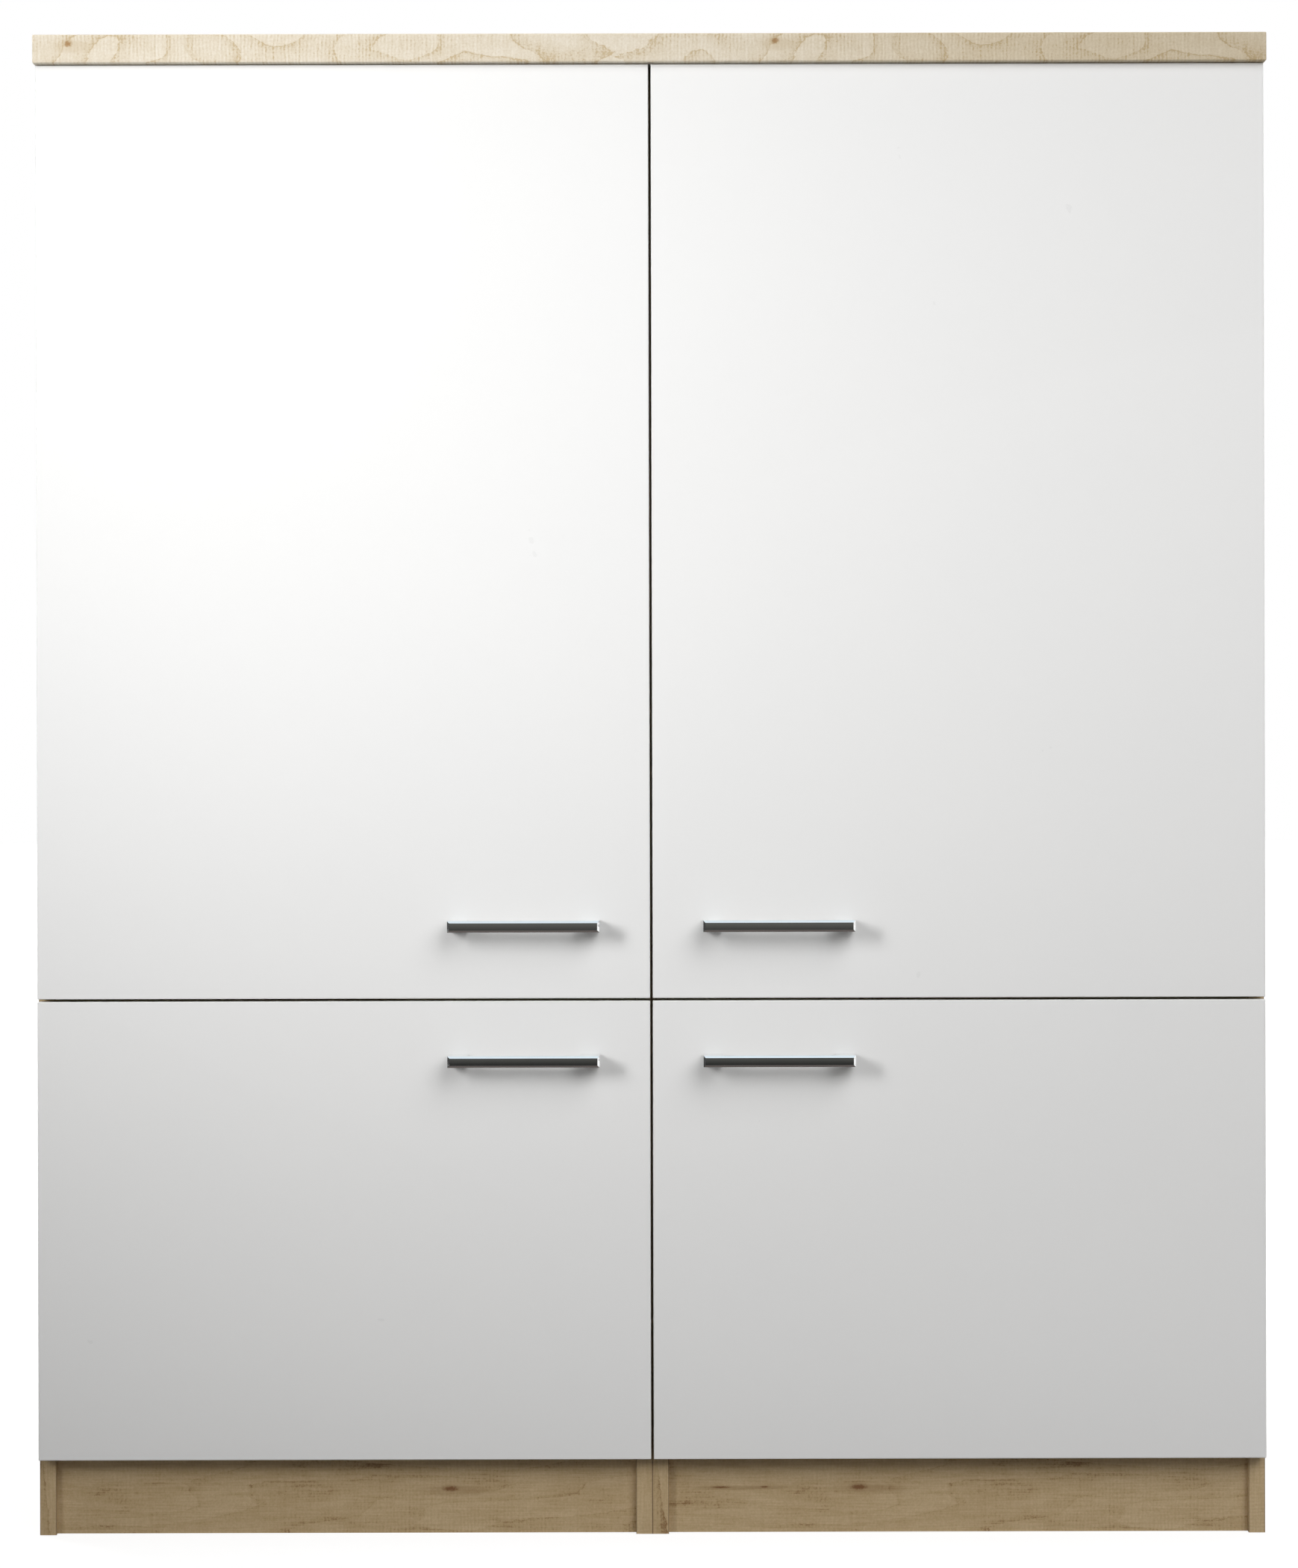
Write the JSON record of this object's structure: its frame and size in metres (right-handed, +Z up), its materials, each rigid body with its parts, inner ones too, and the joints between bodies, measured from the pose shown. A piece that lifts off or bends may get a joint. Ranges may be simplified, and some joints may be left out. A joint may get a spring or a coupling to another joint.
{
  "type": "utility cabinet",
  "caption": "Tall utility cabinet: joined cupboards under one thick oak-look worktop, with low and tall white doors on cup hinges, flat bow handles, loose shelves and a plinth.",
  "frame": {"origin": "on the floor, in the middle of the footprint box that reaches from the handles' fronts to the back edges", "axes": "+Z up, +X along the cabinet's width, -Y towards whoever opens the doors"},
  "size_m": [1.2, 0.624, 1.464],
  "materials": {
    "oak_board": "satin",
    "oak_worktop": "satin",
    "back_board": "satin",
    "white_door": "semi-gloss white coating",
    "handle_metal": "polished",
    "nickel": "nickel plated",
    "screw_steel": "zinc plated",
    "link_steel": "nickel plated",
    "zinc": "bare zinc casting",
    "beech": "bare",
    "soft_pad": "clear"
  },
  "bodies": {
    "root": {"left_outer_side": "oak_board", "left_inner_side": "oak_board", "left_bottom": "oak_board", "left_middle_shelf": "oak_board", "left_front_rail": "oak_board", "left_rear_rail": "oak_board", "left_back": "back_board", "left_plinth": "oak_board", "left_low_shelf": "oak_board", "left_mid_shelf": "oak_board", "left_high_shelf": "oak_board", "right_outer_side": "oak_board", "right_inner_side": "oak_board", "right_bottom": "oak_board", "right_middle_shelf": "oak_board", "right_front_rail": "oak_board", "right_rear_rail": "oak_board", "right_back": "back_board", "right_plinth": "oak_board", "right_low_shelf": "oak_board", "right_mid_shelf": "oak_board", "right_high_shelf": "oak_board", "worktop": "oak_worktop", "shelf_pins": "nickel", "hinge_plates": "nickel", "hinge_arms": "nickel", "hinge_screws": "screw_steel", "cam_nuts": "zinc", "cam_bolts": "screw_steel", "dowels": "beech", "door_bumpers": "soft_pad", "joining_screws": "nickel", "worktop_screws": "screw_steel", "worktop_brackets": "nickel"},
    "upper_left_carrying_links": {"upper_left_carrying_links": "link_steel"},
    "upper_left_guide_links": {"upper_left_guide_links": "link_steel"},
    "upper_left_door": {"upper_left_door": "white_door", "upper_left_handle": "handle_metal", "upper_left_screws": "screw_steel", "upper_left_hinge_cups": "nickel"},
    "upper_right_carrying_links": {"upper_right_carrying_links": "link_steel"},
    "upper_right_guide_links": {"upper_right_guide_links": "link_steel"},
    "upper_right_door": {"upper_right_door": "white_door", "upper_right_handle": "handle_metal", "upper_right_screws": "screw_steel", "upper_right_hinge_cups": "nickel"},
    "lower_left_carrying_links": {"lower_left_carrying_links": "link_steel"},
    "lower_left_guide_links": {"lower_left_guide_links": "link_steel"},
    "lower_left_door": {"lower_left_door": "white_door", "lower_left_handle": "handle_metal", "lower_left_screws": "screw_steel", "lower_left_hinge_cups": "nickel"},
    "lower_right_carrying_links": {"lower_right_carrying_links": "link_steel"},
    "lower_right_guide_links": {"lower_right_guide_links": "link_steel"},
    "lower_right_door": {"lower_right_door": "white_door", "lower_right_handle": "handle_metal", "lower_right_screws": "screw_steel", "lower_right_hinge_cups": "nickel"}
  },
  "joints": [
    {"name": "upper_left_carrying_swing", "type": "hinge", "parent": "root", "child": "upper_left_carrying_links", "pos_m": [-0.569, -0.273, 0.98063], "axis": [0, 0, -1], "range_deg": [-32.5, 0]},
    {"name": "upper_left_door_swing", "type": "hinge", "parent": "upper_left_carrying_links", "child": "upper_left_door", "pos_m": [-0.5858, -0.27, 0.98063], "axis": [0, 0, -1], "range_deg": [0, 122.4]},
    {"name": "upper_left_guide_swing", "type": "hinge", "parent": "root", "child": "upper_left_guide_links", "pos_m": [-0.565, -0.2716, 0.98063], "axis": [0, 0, -1], "range_deg": [-8.9, 0]},
    {"name": "upper_right_carrying_swing", "type": "hinge", "parent": "root", "child": "upper_right_carrying_links", "pos_m": [0.569, -0.273, 0.98063], "axis": [0, 0, 1], "range_deg": [-32.5, 0]},
    {"name": "upper_right_door_swing", "type": "hinge", "parent": "upper_right_carrying_links", "child": "upper_right_door", "pos_m": [0.5858, -0.27, 0.98063], "axis": [0, 0, 1], "range_deg": [0, 122.4]},
    {"name": "upper_right_guide_swing", "type": "hinge", "parent": "root", "child": "upper_right_guide_links", "pos_m": [0.565, -0.2716, 0.98063], "axis": [0, 0, 1], "range_deg": [-8.9, 0]},
    {"name": "lower_left_carrying_swing", "type": "hinge", "parent": "root", "child": "lower_left_carrying_links", "pos_m": [-0.569, -0.273, 0.29988], "axis": [0, 0, -1], "range_deg": [-32.5, 0]},
    {"name": "lower_left_door_swing", "type": "hinge", "parent": "lower_left_carrying_links", "child": "lower_left_door", "pos_m": [-0.5858, -0.27, 0.29988], "axis": [0, 0, -1], "range_deg": [0, 122.4]},
    {"name": "lower_left_guide_swing", "type": "hinge", "parent": "root", "child": "lower_left_guide_links", "pos_m": [-0.565, -0.2716, 0.29988], "axis": [0, 0, -1], "range_deg": [-8.9, 0]},
    {"name": "lower_right_carrying_swing", "type": "hinge", "parent": "root", "child": "lower_right_carrying_links", "pos_m": [0.569, -0.273, 0.29988], "axis": [0, 0, 1], "range_deg": [-32.5, 0]},
    {"name": "lower_right_door_swing", "type": "hinge", "parent": "lower_right_carrying_links", "child": "lower_right_door", "pos_m": [0.5858, -0.27, 0.29988], "axis": [0, 0, 1], "range_deg": [0, 122.4]},
    {"name": "lower_right_guide_swing", "type": "hinge", "parent": "root", "child": "lower_right_guide_links", "pos_m": [0.565, -0.2716, 0.29988], "axis": [0, 0, 1], "range_deg": [-8.9, 0]}
  ],
  "couplings": [
    {"joint": "upper_left_carrying_swing", "follows": "upper_left_door_swing", "ratio": -0.26471},
    {"joint": "upper_left_guide_swing", "follows": "upper_left_door_swing", "ratio": -0.071691},
    {"joint": "upper_right_carrying_swing", "follows": "upper_right_door_swing", "ratio": -0.26471},
    {"joint": "upper_right_guide_swing", "follows": "upper_right_door_swing", "ratio": -0.071691},
    {"joint": "lower_left_carrying_swing", "follows": "lower_left_door_swing", "ratio": -0.26471},
    {"joint": "lower_left_guide_swing", "follows": "lower_left_door_swing", "ratio": -0.071691},
    {"joint": "lower_right_carrying_swing", "follows": "lower_right_door_swing", "ratio": -0.26471},
    {"joint": "lower_right_guide_swing", "follows": "lower_right_door_swing", "ratio": -0.071691}
  ]
}
